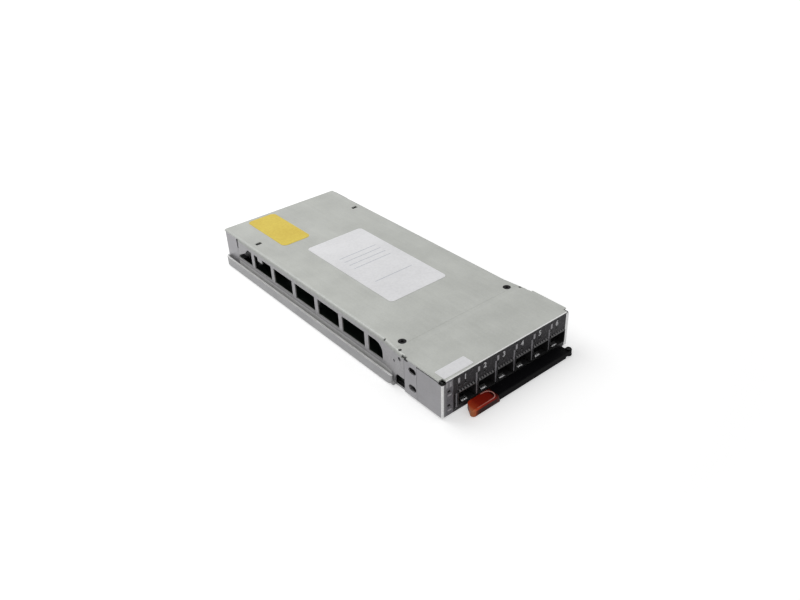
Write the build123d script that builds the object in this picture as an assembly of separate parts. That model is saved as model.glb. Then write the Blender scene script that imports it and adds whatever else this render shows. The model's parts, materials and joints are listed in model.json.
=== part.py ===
from build123d import *
import os

os.makedirs("parts", exist_ok=True)

# Sheet metal body. Sizes are in mm and depths count back from the front face
body_length = 260.0
front_width = 112.0
side_jog = 2.0
body_height = 28.4
cover_sheet = 1.0
chassis_sheet = 1.0
tray_sheet = 1.5
face_sheet = 0.8
inner_bend = 1.5
jog_start = 38.0
jog_end = 56.0
seam_gap = 0.2

# Bottom tray with its two guide lips
rail_reach = 2.0
lip_height = 8.0
lip_start = 45.0
lip_front_radius = 5.0
lip_bend = 1.2
tray_start = 24.0
tray_rear_gap = 4.0
tray_nose = 9.0
tray_corner = 4.0

# Front chassis and faceplate
side_plate_end = 34.0
face_flange_length = 22.5
face_flange_drop = 2.0
chassis_bend = 0.7
floor_tongue_end = 64.0
top_flange_start = 6.0
top_flange_end = 52.0
top_flange_width = 12.0
flange_side_gap = 0.6
corner_relief = 3.0
relief_side_gap = 1.3
relief_depths = (31.8, 36.6)
relief_drop = 2.2
obround_length = 6.8
obround_height = 4.4
obround_depth = 26.5
obround_margins = (6.9, 5.8)

# Side windows of the cover
window_bottom = 11.6
window_drop = 4.6
window_start = 57.5
window_end_gap = 1.0
window_round = 7.0
window_slant = 15.0
window_post = 4.0
first_post = 74.1
post_count = 6
last_window = 22.4
hanging_tab_lead = 14.1
hanging_tab_width = 6.5
hanging_tab_drop = 3.3

# Smaller cuts in the cover
foot_notch_end = 44.0
foot_notch_top = 10.9
foot_notch_round = 5.0
pilot_hole_depth = 44.5
pilot_hole_drop = 9.1
pilot_hole_radius = 1.0
rivet_hole_depth = 38.5
rivet_hole_drop = 4.4
rivet_hole_radius = 1.4
top_slot_side_gap = 8.0
top_slot_rear_gap = 42.3
top_slot_length = 4.9
top_slot_width = 3.2
front_jog_hole = (2.8, 40.7, 1.1)
rear_jog_hole = (3.1, 55.9, 0.75)
jog_hole_drop = 2.6
slit_width = 1.7
slit_drop = 8.9
first_foot_tab = 80.0
last_foot_tab_gap = 20.0
foot_tab_count = 3
foot_tab_length = 12.0
foot_tab_width = 9.0

# Rear cap
cap_length = 20.0
cap_corner = 4.0
cap_flange = 9.0
cap_flange_inset = 8.0

# Transceiver ports
port_count = 6
port_left_margin = 11.6
port_right_margin = 2.6
cage_spacing = 1.5
cage_height = 9.8
cage_length = 48.5
cage_sheet = 0.4
cage_proud = 0.6
cage_gap = 0.1
cage_floor_length = 30.0
finger_count = 6
finger_edge = 0.8
finger_gap = 1.0
finger_sheet = 0.3
finger_end = 6.5
finger_rise = 1.6
finger_seat = 0.6
finger_peak = 1.3
finger_end_gap = 0.15
latch_width = 4.6
latch_length = 5.0
latch_peak = 3.0
latch_rise = 1.3
latch_offset = -1.0
port_slot_side_gap = 10.5
port_slot_width = 1.4
port_slot_bottom = 2.9
connector_side_gap = 1.1
connector_depth = 9.0
connector_height = 5.6
connector_end_gap = 3.5
card_slot_wall = 0.9
card_slot_rise = 3.36
card_slot_height = 1.4
card_slot_depth = 5.0

# Indicator lamps and light pipes
lamp_offsets = (-6.2, -1.2)
lamp_rise = 3.1
lamp_window_width = 2.0
lamp_window_height = 1.8
pipe_gap = 0.1
pipe_setback = 0.2
pipe_leg = 1.6
pipe_leg_gap = 2.9
pipe_foot_depth = 20.0
pipe_foot_length = 4.0
status_side_gap = 5.5
low_status_level = 8.8
status_legs = (6.4, 12.4)
status_window_width = 2.4
status_window_height = 2.0
lamp_width = 1.6
lamp_height = 0.8

# Main board and its parts
board_gap = 0.7
board_thickness = 1.6
board_start = 3.0
board_rear_gap = 14.0
board_side_gap = 1.2
front_screw_row = 58.0
screw_row_gaps = (96.0, 14.0)
screw_side_gap = 14.0
standoff_radius = 3.0
board_screw_radius = 1.25
board_screw_head = 2.8
board_screw_head_height = 1.8
board_screw_round = 0.6
board_screw_slot = 0.7
board_hole_gap = 0.35
thread_gap = 0.05
chip_count = 3
chip_share = 4 / 7
chip_height = 2.0
sink_zone_start = 76.0
sink_zone_rear_gap = 80.0
sink_spacing = 10.0
sink_side_gap = 18.0
sink_base = 2.5
sink_top_gap = 5.6
fin_count = 8
fin_thickness = 0.9
capacitor_radius = 3.15
capacitor_height = 7.7
capacitor_count = 6
capacitor_round = 0.63
capacitor_side_gap = 10.0
capacitor_rear_gap = 56.0

# Backplane connector and guide sockets
backplane_side_gap = 6.5
backplane_height = 14.0
backplane_length = 22.0
contact_columns = 15
contact_rows = 4
contact_margin = 3.6
contact_share = 0.5
contact_hole_depth = 6.0
guide_side_gap = 16.0
guide_width = 11.0
guide_height = 13.0
guide_length = 20.0
guide_level = 11.3
guide_bore_radius = 3.1
guide_bore_length = 16.0
guide_lead_in = 0.8
rear_opening_gap = 0.3

# Rivets, cover nuts and cover screws
rivet_radius = 1.5
rivet_head_radius = 2.4
rivet_head_height = 0.5
tongue_rivet_gap = 24.0
tongue_rivet_depth = 42.0
floor_rivet_gaps = (8.0, 12.0)
floor_rivet_depth = 30.0
bracket_rivet_depths = (5.0, 12.0)
cover_screw_side_gap = 7.5
cover_screw_depth = 46.7
cover_screw_radius = 1.5
cover_screw_head = 2.75
cover_screw_length = 3.4
cover_screw_socket = 1.1
nut_radius = 2.75
nut_height = 3.5

# Ejector handle
handle_gap = 1.0
bar_depth = 8.9
bar_height = 3.3
bar_skirt = 1.2
bar_end_gap = 4.6
bar_edge = 0.5
arm_width = 4.4
arm_height = 2.9
pivot_side_gap = 7.4
pivot_radius = 1.1
pivot_gap = 0.06
pivot_head_radius = 1.8
pivot_head_height = 0.6
handle_lift = 0.2
head_gap = 0.1
bracket_radius = 2.4
bracket_width = 10.0
bracket_end = 16.0

# Touch tab at the free end of the handle, slanted at its left end, with a dish that is open to the left
tab_side_gap = 13.6
tab_length = 25.1
tab_left_slant = 5.7
tab_right_slope = 1.5
tab_height = 4.8
tab_drop = 1.2
tab_proud = 0.8
tab_front_round = 2.0
tab_rear_round = 2.6
tab_right_round = 1.5
tab_edge = 0.9
tab_dish_depth = 0.9
tab_dish_rim = 1.2
tongue_depth = 3.6
tongue_height = 1.8
tongue_lift = 0.2
tongue_end_wall = 1.2

# Labels on the top
label_sheet = 0.15
main_label_x = 1.8
main_label_width = 50.6
main_label_start = 85.4
main_label_corner = 3.0
label_spacing = 15.7
yellow_label_side_gap = 20.0
yellow_label_width = 25.0
yellow_label_length = 55.0
yellow_label_rear_gap = 3.0
yellow_label_corner = 4.0
small_label_side_gap = 3.4
small_label_width = 23.4
small_label_depths = (1.6, 10.4)
small_label_corner = 0.8

# Levels and places that follow from the sizes above
front_half = front_width / 2
rear_half = front_half - side_jog
rail_half = front_half + rail_reach
tray_top = tray_sheet
floor_top = tray_top + chassis_sheet
under_cover = body_height - cover_sheet
side_plate_top = under_cover - seam_gap
face_flange_top = body_height - face_flange_drop
board_bottom = floor_top + board_gap
board_top = board_bottom + board_thickness
cage_top = board_top + cage_height
finger_top = cage_top + finger_rise
lamp_level = finger_top + lamp_rise
status_levels = (low_status_level, lamp_level)
status_x = status_side_gap - front_half
handle_front = handle_gap + bar_depth
pivot_x = front_half - pivot_side_gap
pivot_depth = -(handle_front - arm_width / 2)
tab_front = handle_front + tab_proud
tab_left = tab_side_gap - front_half
tab_right = tab_left + tab_length
front_y = -(body_length - tab_front) / 2
tray_end = body_length - tray_rear_gap
cover_wall_end = body_length - cap_length
board_end = body_length - board_rear_gap
screw_x = rear_half - screw_side_gap
guide_x = rear_half - guide_side_gap
port_pitch = (front_width - port_left_margin - port_right_margin) / port_count
first_port = port_left_margin + port_pitch / 2 - front_half
port_centers = [first_port + port_pitch * i for i in range(port_count)]
cage_width = port_pitch - cage_spacing
lamp_top = board_top + lamp_height
handle_bottom = tray_top + handle_lift
past = 1.0


def block(x0, x1, d0, d1, z0, z1):
    """Box between two corners, with depths d counted back from the front face."""
    center = Pos((x0 + x1) / 2, front_y + (d0 + d1) / 2, (z0 + z1) / 2)
    return center * Box(x1 - x0, d1 - d0, z1 - z0)


def pair(x0, x1, d0, d1, z0, z1):
    """The same box on the right side and mirrored on the left."""
    return block(x0, x1, d0, d1, z0, z1) + block(-x1, -x0, d0, d1, z0, z1)


def post(x, d, z0, z1, radius):
    """Upright cylinder."""
    return Pos(x, front_y + d, (z0 + z1) / 2) * Cylinder(radius, z1 - z0)


def plan(points):
    """Flat face through plan points (x, depth)."""
    return make_face(Polyline(*[(x, front_y + d) for x, d in points], close=True))


def side_face(points):
    """Flat face in the side view through points (depth, z)."""
    return make_face(Polyline(*[(front_y + d, z) for d, z in points], close=True))


def across(face):
    """Side-view face cut right across the body."""
    return extrude(Plane.YZ * face, amount=rail_half + past, both=True)


def rounded_plate(box, corner, z0, z1):
    """Flat plate with rounded corners over a plan box (x0, x1, d0, d1)."""
    x0, x1, d0, d1 = box
    outline = RectangleRounded(x1 - x0, d1 - d0, corner)
    return Pos((x0 + x1) / 2, front_y + (d0 + d1) / 2, z0) * extrude(outline, amount=z1 - z0)


def save(part, name):
    """Write one piece to its own file."""
    export_step(part, f"parts/{name}.step")


# Bottom tray: floor plate, guide lips with a rounded lower front corner, and lips turned in at the rear
inner_lip = rail_half - tray_sheet
nose_half = rear_half + seam_gap
right_edge = [(nose_half - tray_nose, tray_start), (nose_half, tray_start + tray_nose),
              (nose_half, lip_start), (inner_lip, lip_start), (inner_lip, tray_end - tray_corner),
              (rear_half, tray_end)]
floor_outline = plan(right_edge + [(-x, d) for x, d in reversed(right_edge)])
tray = extrude(floor_outline, amount=tray_sheet)
lip_face = side_face([(lip_start, 0), (tray_end - tray_corner, 0), (tray_end - tray_corner, lip_height),
                      (lip_start, lip_height)])
lip_corner_vertex = lip_face.vertices().group_by(Axis.Y)[0].sort_by(Axis.X)[0]
lip_face = fillet(lip_corner_vertex, lip_front_radius)
lip = extrude(Plane.YZ * lip_face, amount=tray_sheet)
tray += [Pos(inner_lip, 0, 0) * lip, Pos(-rail_half, 0, 0) * lip]
turn_zone = block(rear_half, rail_half, tray_end - tray_corner, tray_end, 0, lip_height)
turn = post(rear_half, tray_end - tray_corner, 0, lip_height, rail_half - rear_half)
turn_hollow = post(rear_half, tray_end - tray_corner, tray_sheet, lip_height + past, inner_lip - rear_half)
turned_end = (turn & turn_zone) - turn_hollow
tray += [turned_end, mirror(turned_end, Plane.YZ)]
bottom_edges = tray.edges().filter_by(Axis.Y).filter_by(
    lambda e: abs(abs(e.center().X) - rail_half) < 0.01 and e.center().Z < 0.01)
tray = fillet(bottom_edges, lip_bend)


# Cover: one bent sheet from the front rim to the rear end, with full side walls behind the side plates
def cover_block(inset, reach, radius):
    """Solid inside the cover's skin, moved in by inset, with its long top edges rounded."""
    front = front_half - inset
    rear = rear_half - inset
    right = [(front, -reach), (front, jog_start), (rear, jog_end), (rear, body_length + reach)]
    left = [(-x, d) for x, d in reversed(right)]
    height = body_height - tray_top - inset
    solid = Pos(0, 0, tray_top) * extrude(plan(right + left), amount=height)
    top_edges = solid.faces().sort_by(Axis.Z)[-1].edges()
    long_edges = top_edges.filter_by(lambda e: abs(e.tangent_at(0.5).X) < 0.9)
    return fillet(long_edges, radius)


wall_start = side_plate_end + seam_gap
cover = cover_block(0, 0, inner_bend + cover_sheet) - cover_block(cover_sheet, past, inner_bend)
cover -= block(-rail_half, rail_half, -past, wall_start, 0, body_height + past)
cover += block(-front_half, front_half, 0, wall_start, under_cover, body_height)
cover -= block(-rail_half, rail_half, cover_wall_end, body_length + past, 0, under_cover)
cover -= pair(front_half - corner_relief, rail_half, -past, corner_relief, 0, body_height + past)
slit_bottom = body_height - slit_drop
relief_bottom = body_height - relief_drop
cover -= pair(front_half - relief_side_gap, rail_half, relief_depths[0], relief_depths[1], relief_bottom,
              body_height + past)
cover -= pair(rear_half - 2 * cover_sheet, rail_half, cover_wall_end - slit_width, body_length + past,
              slit_bottom, under_cover)

# Foot notches in the cover's lower front corners, and the small holes above them
notch = side_face([(wall_start - past, 0), (foot_notch_end, 0), (foot_notch_end, foot_notch_top),
                   (wall_start - past, foot_notch_top)])
notch = fillet(notch.vertices().group_by(Axis.Y)[-1].sort_by(Axis.X)[-1], foot_notch_round)
cover -= across(notch)
small_holes = [(pilot_hole_depth, pilot_hole_drop, pilot_hole_radius),
               (rivet_hole_depth, rivet_hole_drop, rivet_hole_radius)]
for depth, drop, radius in small_holes:
    cover -= across(Pos(front_y + depth, body_height - drop) * Circle(radius))

# Side windows between narrow posts. The first has a round corner and the last a slanted one
window_top = body_height - window_drop
window_end = cover_wall_end - window_end_gap
post_pitch = (window_end - last_window - first_post) / (post_count - 1)
posts = [first_post + post_pitch * i for i in range(post_count)]
starts = [window_start] + [p + window_post / 2 for p in posts[:-1]]
ends = [p - window_post / 2 for p in posts]
windows = [side_face([(start, window_bottom), (end, window_bottom), (end, window_top), (start, window_top)])
           for start, end in zip(starts, ends)]
windows[0] = fillet(windows[0].vertices().group_by(Axis.Y)[-1].sort_by(Axis.X)[0], window_round)
slant_top = window_end - window_slant
slant_drop = window_top - slit_bottom
last_start = posts[-1] + window_post / 2
windows.append(side_face([(last_start, window_bottom), (window_end, window_bottom),
                          (window_end, window_bottom + slant_drop / 2), (slant_top + slant_drop, slit_bottom),
                          (slant_top, window_top), (last_start, window_top)]))
for window in windows:
    cover -= across(window)
hanging_tab_start = posts[-1] - hanging_tab_lead
cover += pair(rear_half - cover_sheet, rear_half, hanging_tab_start, hanging_tab_start + hanging_tab_width,
              window_top - hanging_tab_drop, window_top)

# Slots in the top, relief holes at the jogs' bends, countersunk screw holes, and foot tabs on the tray
top_slot_depth = body_length - top_slot_rear_gap
for side in (-1, 1):
    slot_x = side * (rear_half - top_slot_side_gap)
    cover -= block(slot_x - top_slot_length / 2, slot_x + top_slot_length / 2, top_slot_depth,
                   top_slot_depth + top_slot_width, under_cover - past, body_height + past)
for inset, depth, radius in (front_jog_hole, rear_jog_hole):
    for side in (-1, 1):
        cover -= post(side * (front_half - inset), depth, body_height - jog_hole_drop, body_height + past,
                      radius)
cover_screw_x = rear_half - cover_screw_side_gap
screw_spots = [(-cover_screw_x, cover_screw_depth), (cover_screw_x, cover_screw_depth)]
head_cone = Cone(cover_screw_head - cover_sheet, cover_screw_head, cover_sheet)
hole_cone = Cone(cover_screw_head - cover_sheet + thread_gap, cover_screw_head + thread_gap, cover_sheet)
for x, d in screw_spots:
    cover -= Pos(x, front_y + d, under_cover + cover_sheet / 2) * hole_cone
tab_outer_x = rear_half - cover_sheet / 2
tab_inner_x = rear_half - cover_sheet - foot_tab_width
tab_rivet_x = rear_half - cover_sheet - foot_tab_width / 2
last_foot_tab = cover_wall_end - last_foot_tab_gap
foot_tab_pitch = (last_foot_tab - first_foot_tab) / (foot_tab_count - 1)
foot_tab_depths = [first_foot_tab + foot_tab_pitch * i for i in range(foot_tab_count)]
for depth in foot_tab_depths:
    cover += pair(tab_inner_x, tab_outer_x, depth - foot_tab_length / 2, depth + foot_tab_length / 2,
                  tray_top, tray_top + cover_sheet)

# Front chassis: floor with a tongue over the tray, side plates, and top flanges that carry the cover
plate_inner = front_half - chassis_sheet
recess_outer = front_half - face_sheet
recess_inner = recess_outer - chassis_sheet
step = face_flange_length + seam_gap
tongue_half = rear_half - cover_sheet - flange_side_gap
chassis = block(-plate_inner, plate_inner, step, side_plate_end, tray_top, floor_top)
chassis += block(-recess_outer, recess_outer, face_sheet, step, tray_top, floor_top)
chassis += block(-tongue_half, tongue_half, side_plate_end, floor_tongue_end, tray_top, floor_top)
chassis += pair(plate_inner, front_half, step, side_plate_end, tray_top, side_plate_top)
chassis += pair(recess_inner, recess_outer, face_sheet, step + chassis_sheet, tray_top, side_plate_top)
flange_bottom = side_plate_top - chassis_sheet
flange_inner = tongue_half - top_flange_width
flange_outer = rear_half - cover_sheet - inner_bend
chassis += pair(flange_inner, recess_outer, top_flange_start, side_plate_end, flange_bottom, side_plate_top)
chassis += pair(flange_inner, flange_outer, side_plate_end, top_flange_end, flange_bottom, side_plate_top)
bent_edges = chassis.edges().filter_by(Axis.Y).filter_by(
    lambda e: abs(e.center().X) > recess_outer + 0.01 and e.center().Z > side_plate_top - 0.01)
chassis = fillet(bent_edges, min(chassis_bend, 0.9 * face_sheet))
obround_levels = (tray_top + obround_margins[0], side_plate_top - obround_margins[1])
for level in obround_levels:
    chassis -= across(Pos(front_y + obround_depth, level) * SlotOverall(obround_length, obround_height))
for x, d in screw_spots:
    chassis -= post(x, d, flange_bottom - past, side_plate_top + past, nut_radius)

# Faceplate with side flanges, port openings, lamp windows and the narrow slot left of the ports
faceplate = block(-front_half, front_half, 0, face_sheet, tray_top, under_cover)
faceplate += pair(recess_outer, front_half, 0, face_flange_length, tray_top, face_flange_top)
faceplate -= pair(front_half - corner_relief, rail_half, -past, face_sheet + past, face_flange_top,
                  body_height)
port_slot_x = port_slot_side_gap - front_half
half_opening = cage_width / 2 + cage_gap
opening_bottom = board_top - cage_gap
opening_top = finger_top + cage_gap
lamp_spots = [(center + offset, lamp_level) for center in port_centers for offset in lamp_offsets]
status_spots = [(status_x, level) for level in status_levels]
for center in port_centers:
    faceplate -= block(center - half_opening, center + half_opening, -past, face_sheet + past,
                       opening_bottom, opening_top)
for x, z in lamp_spots:
    faceplate -= block(x - lamp_window_width / 2, x + lamp_window_width / 2, -past, face_sheet + past,
                       z - lamp_window_height / 2, z + lamp_window_height / 2)
for x, z in status_spots:
    faceplate -= block(x - status_window_width / 2, x + status_window_width / 2, -past, face_sheet + past,
                       z - status_window_height / 2, z + status_window_height / 2)
faceplate -= block(port_slot_x - port_slot_width / 2, port_slot_x + port_slot_width / 2, -past,
                   face_sheet + past, port_slot_bottom, cage_top)
front_corners = faceplate.edges().filter_by(Axis.Z).filter_by(
    lambda e: abs(abs(e.center().X) - front_half) < 0.01 and e.center().Y < front_y + 0.01)
faceplate = fillet(front_corners, face_sheet)

# Rear cap: rear wall and side returns with rounded upright corners, flanges under the cover and on the tray
cap_start = cover_wall_end + seam_gap


def cap_block(inset, front):
    """Upright solid inside the cap's skin, moved in by inset, with rounded rear corners."""
    half = rear_half - inset
    rear = body_length - inset
    outline = plan([(-half, front), (half, front), (half, rear), (-half, rear)])
    outline = fillet(outline.vertices().group_by(Axis.Y)[-1], cap_corner - inset)
    return Pos(0, 0, tray_top) * extrude(outline, amount=under_cover - tray_top)


cap = cap_block(0, cap_start) - cap_block(cover_sheet, cap_start - past)
flange_half = rear_half - cap_flange_inset
cap_rear = body_length - cover_sheet / 2
cap_flange_start = body_length - cover_sheet - cap_flange
cap += block(-flange_half, flange_half, cap_flange_start, cap_rear, tray_top, tray_top + cover_sheet)
cap += block(-flange_half, flange_half, cap_flange_start, cap_rear, under_cover - cover_sheet, under_cover)
backplane_width = 2 * (guide_x - guide_width / 2 - backplane_side_gap)
rear_boxes = [(0, backplane_width, board_top + backplane_height / 2, backplane_height)]
rear_boxes += [(side * guide_x, guide_width, guide_level, guide_height) for side in (-1, 1)]
for x, width, z, height in rear_boxes:
    half = width / 2 + rear_opening_gap
    cap -= block(x - half, x + half, body_length - 2 * cover_sheet, body_length + past,
                 z - height / 2 - rear_opening_gap, z + height / 2 + rear_opening_gap)

# Main board with its mounting holes
board_half = rear_half - cover_sheet - board_side_gap
screw_rows = [front_screw_row] + [board_end - gap for gap in screw_row_gaps]
board_spots = [(side * screw_x, row) for row in screw_rows for side in (-1, 1)]
board = block(-board_half, board_half, board_start, board_end, board_bottom, board_top)
for x, d in board_spots:
    board -= post(x, d, board_bottom - past, board_top + past, board_screw_radius + board_hole_gap)

# Standoffs stand on the chassis tongue in front and on the tray behind it
standoffs = []
board_screws = []
for x, d in board_spots:
    seat = floor_top if d < floor_tongue_end else tray_top
    standoff = post(x, d, seat, board_bottom, standoff_radius)
    standoffs.append(standoff - post(x, d, seat - past, board_bottom + past, board_screw_radius + thread_gap))
    head = post(x, d, board_top, board_top + board_screw_head_height, board_screw_head)
    head = fillet(head.edges().sort_by(Axis.Z)[-1], board_screw_round)
    slot = Pos(x, front_y + d, board_top + board_screw_head_height) * Box(
        board_screw_head, board_screw_slot, board_screw_head_height)
    board_screws.append(head - slot + post(x, d, seat, board_top, board_screw_radius))

# Transceiver cages, each with spring fingers over the mouth and a latch spring in its floor
front_lip = -cage_proud
cage_wall = cage_width / 2 - cage_sheet
finger_pitch = (cage_width - 2 * finger_edge) / finger_count
finger_width = finger_pitch - finger_gap
finger_seat_end = finger_seat - cage_proud
finger_profile = [(front_lip, 0), (front_lip, finger_sheet), (finger_peak, finger_rise),
                  (finger_end, finger_end_gap + finger_sheet), (finger_end, finger_end_gap),
                  (finger_peak, finger_rise - finger_sheet), (finger_seat_end, 0)]
latch_profile = [(0, 0), (latch_peak, latch_rise), (latch_length, 0), (latch_length, -cage_sheet),
                 (0, -cage_sheet)]
cages = []
for center in port_centers:
    cage = block(center - cage_width / 2, center + cage_width / 2, front_lip, cage_length, board_top,
                 cage_top)
    cage -= block(center - cage_wall, center + cage_wall, front_lip - past, cage_length - cage_sheet,
                  board_top + cage_sheet, cage_top - cage_sheet)
    cage -= block(center - cage_wall, center + cage_wall, cage_floor_length, cage_length - cage_sheet,
                  board_top - past, board_top + 2 * cage_sheet)
    finger_face = side_face([(d, cage_top + z) for d, z in finger_profile])
    for k in range(finger_count):
        finger_x = center + finger_pitch * (k - (finger_count - 1) / 2)
        cage += Pos(finger_x - finger_width / 2, 0, 0) * extrude(Plane.YZ * finger_face, amount=finger_width)
    cage += block(center - finger_pitch * finger_count / 2, center + finger_pitch * finger_count / 2,
                  front_lip, finger_seat_end, cage_top, cage_top + finger_sheet)
    latch_face = side_face([(d, board_top + cage_sheet + z) for d, z in latch_profile])
    latch = extrude(Plane.YZ * latch_face, amount=latch_width)
    cage += Pos(center + latch_offset - latch_width / 2, 0, 0) * latch
    cages.append(cage)

# Board connectors inside the rear of the cages
connector_end = cage_length - connector_end_gap
connector_start = connector_end - connector_depth
connector_width = 2 * (cage_wall - connector_side_gap)
card_slot_width = connector_width - 2 * card_slot_wall
slot_level = board_top + card_slot_rise
connectors = []
for center in port_centers:
    body = block(center - connector_width / 2, center + connector_width / 2, connector_start, connector_end,
                 board_top, board_top + connector_height)
    body -= block(center - card_slot_width / 2, center + card_slot_width / 2, connector_start - past,
                  connector_start + card_slot_depth, slot_level - card_slot_height / 2,
                  slot_level + card_slot_height / 2)
    connectors.append(body)

# Light pipes run over the cages, rest on them and turn down behind them onto the board lamps
pipe_half = lamp_window_width / 2 - pipe_gap
pipe_bottom = lamp_level - lamp_window_height / 2 + pipe_gap
pipe_top = lamp_level + lamp_window_height / 2 - pipe_gap
leg_start = cage_length + pipe_leg_gap
leg_end = leg_start + pipe_leg
foot_end = pipe_foot_depth + pipe_foot_length
port_pipes = []
for center in port_centers:
    low_x = center + lamp_offsets[0]
    high_x = center + lamp_offsets[1]
    pipe = block(low_x - pipe_half, high_x + pipe_half, pipe_foot_depth, foot_end, pipe_bottom, pipe_top)
    pipe += block(low_x + pipe_half, high_x - pipe_half, pipe_foot_depth, foot_end, cage_top, pipe_top)
    for x in (low_x, high_x):
        pipe += block(x - pipe_half, x + pipe_half, pipe_setback, leg_end, pipe_bottom, pipe_top)
        pipe += block(x - pipe_half, x + pipe_half, leg_start, leg_end, lamp_top, pipe_top)
    port_pipes.append(pipe)

status_half = status_window_width / 2 - pipe_gap
status_rise = status_window_height / 2 - pipe_gap
status_pipes = []
for level, leg in zip(status_levels, status_legs):
    pipe = block(status_x - status_half, status_x + status_half, pipe_setback, leg + pipe_leg,
                 level - status_rise, level + status_rise)
    pipe += block(status_x - status_half, status_x + status_half, leg, leg + pipe_leg, lamp_top,
                  level + status_rise)
    status_pipes.append(pipe)

# Board lamps under the light pipe legs
leg_spots = [(x, leg_start) for x, z in lamp_spots] + [(status_x, leg) for leg in status_legs]
lamps = [block(x - lamp_width / 2, x + lamp_width / 2, d, d + pipe_leg, board_top, lamp_top)
         for x, d in leg_spots]

# Signal chips, each under a finned heat sink
chips = []
sinks = []
chip_top = board_top + chip_height
sink_top = under_cover - sink_top_gap
sink_width = 2 * (screw_x - sink_side_gap)
sink_zone_length = body_length - sink_zone_rear_gap - sink_zone_start
sink_pitch = (sink_zone_length + sink_spacing) / chip_count
sink_length = sink_pitch - sink_spacing
chip_size = sink_length * chip_share
chip_depths = [sink_zone_start + sink_length / 2 + sink_pitch * i for i in range(chip_count)]
fin_pitch = (sink_length - fin_thickness) / (fin_count - 1)
for depth in chip_depths:
    chips.append(block(-chip_size / 2, chip_size / 2, depth - chip_size / 2, depth + chip_size / 2,
                       board_top, chip_top))
    first_fin = depth - sink_length / 2
    sink = block(-sink_width / 2, sink_width / 2, first_fin, first_fin + sink_length, chip_top,
                 chip_top + sink_base)
    for k in range(fin_count):
        fin_start = first_fin + fin_pitch * k
        sink += block(-sink_width / 2, sink_width / 2, fin_start, fin_start + fin_thickness, chip_top,
                      sink_top)
    sinks.append(sink)

# Row of round capacitors behind the chips
capacitors = []
capacitor_depth = body_length - capacitor_rear_gap
capacitor_pitch = 2 * (screw_x - capacitor_side_gap) / (capacitor_count - 1)
for k in range(capacitor_count):
    x = capacitor_pitch * (k - (capacitor_count - 1) / 2)
    can = post(x, capacitor_depth, board_top, board_top + capacitor_height, capacitor_radius)
    capacitors.append(fillet(can.edges().sort_by(Axis.Z)[-1], capacitor_round))

# Backplane connector with rows of contact holes in its rear face
backplane_mid = board_top + backplane_height / 2
backplane = block(-backplane_width / 2, backplane_width / 2, body_length - backplane_length, body_length,
                  board_top, board_top + backplane_height)
contact_pitch = (backplane_width - 2 * contact_margin) / (contact_columns - 1)
contact_size = contact_pitch * contact_share
contact_holes = []
for column in range(contact_columns):
    for row in range(contact_rows):
        x = contact_pitch * (column - (contact_columns - 1) / 2)
        z = backplane_mid + contact_pitch * (row - (contact_rows - 1) / 2)
        contact_holes.append(block(x - contact_size / 2, x + contact_size / 2,
                                   body_length - contact_hole_depth, body_length + past,
                                   z - contact_size / 2, z + contact_size / 2))
backplane -= contact_holes

# Guide sockets at both sides of the connector, open to the rear
guides = []
for side in (-1, 1):
    x = side * guide_x
    socket = block(x - guide_width / 2, x + guide_width / 2, body_length - guide_length, body_length,
                   board_top, guide_level + guide_height / 2)
    mouth = Pos(x, front_y + body_length, guide_level) * Rot(90, 0, 0)
    lead_in = Cone(guide_bore_radius + guide_lead_in, guide_bore_radius, guide_lead_in)
    socket -= mouth * Pos(0, 0, guide_bore_length / 2) * Cylinder(guide_bore_radius, guide_bore_length)
    socket -= mouth * Pos(0, 0, guide_lead_in / 2) * lead_in
    guides.append(socket)

# Flush rivets through the tray into the chassis tongue, the cover's foot tabs and the cap's flange
cap_rivet_depth = body_length - cover_sheet - cap_flange + rivet_head_radius + seam_gap
tongue_rivet_x = rear_half - tongue_rivet_gap
front_rivets = [(-tongue_rivet_x, tongue_rivet_depth), (tongue_rivet_x, tongue_rivet_depth),
                (floor_rivet_gaps[0] - front_half, floor_rivet_depth),
                (front_half - floor_rivet_gaps[1], floor_rivet_depth)]
rivet_spots = [(x, d, floor_top) for x, d in front_rivets]
rivet_spots += [(side * tab_rivet_x, d, tray_top + cover_sheet) for d in foot_tab_depths for side in (-1, 1)]
rivet_spots += [(side * guide_x, cap_rivet_depth, tray_top + cover_sheet) for side in (-1, 1)]
tray_rivets = []
for x, d, seat in rivet_spots:
    hole = post(x, d, -past, seat + past, rivet_radius)
    tray -= hole
    chassis -= hole
    cover -= hole & block(-rail_half, rail_half, 0, body_length, tray_top, floor_top + past)
    cap -= hole
    tray_rivets.append(post(x, d, 0, seat, rivet_radius)
                       + post(x, d, seat, seat + rivet_head_height, rivet_head_radius))

# Pivot bracket under the chassis floor, with its rivets and the handle's pivot pin
bracket_bottom = tray_top - chassis_sheet
bracket = block(pivot_x - bracket_width / 2, pivot_x + bracket_width / 2, 0, bracket_end, bracket_bottom,
                tray_top)
bracket = fillet(bracket.edges().filter_by(Axis.Z), bracket_radius)
bracket += block(pivot_x - bracket_radius, pivot_x + bracket_radius, pivot_depth, bracket_end / 2,
                 bracket_bottom, tray_top)
bracket += post(pivot_x, pivot_depth, bracket_bottom, tray_top, bracket_radius)
bracket -= post(pivot_x, pivot_depth, bracket_bottom - past, tray_top + past, pivot_radius)
bracket_rivets = []
for d in bracket_rivet_depths:
    hole = post(pivot_x, d, bracket_bottom - past, floor_top + past, rivet_radius)
    bracket -= hole
    chassis -= hole
    bracket_rivets.append(post(pivot_x, d, bracket_bottom, floor_top, rivet_radius)
                          + post(pivot_x, d, floor_top, floor_top + rivet_head_height, rivet_head_radius))
arm_top = handle_bottom + arm_height
pin_shoulder = arm_top + head_gap
pin = post(pivot_x, pivot_depth, bracket_bottom, pin_shoulder, pivot_radius)
pin += post(pivot_x, pivot_depth, pin_shoulder, pin_shoulder + pivot_head_height, pivot_head_radius)

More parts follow.
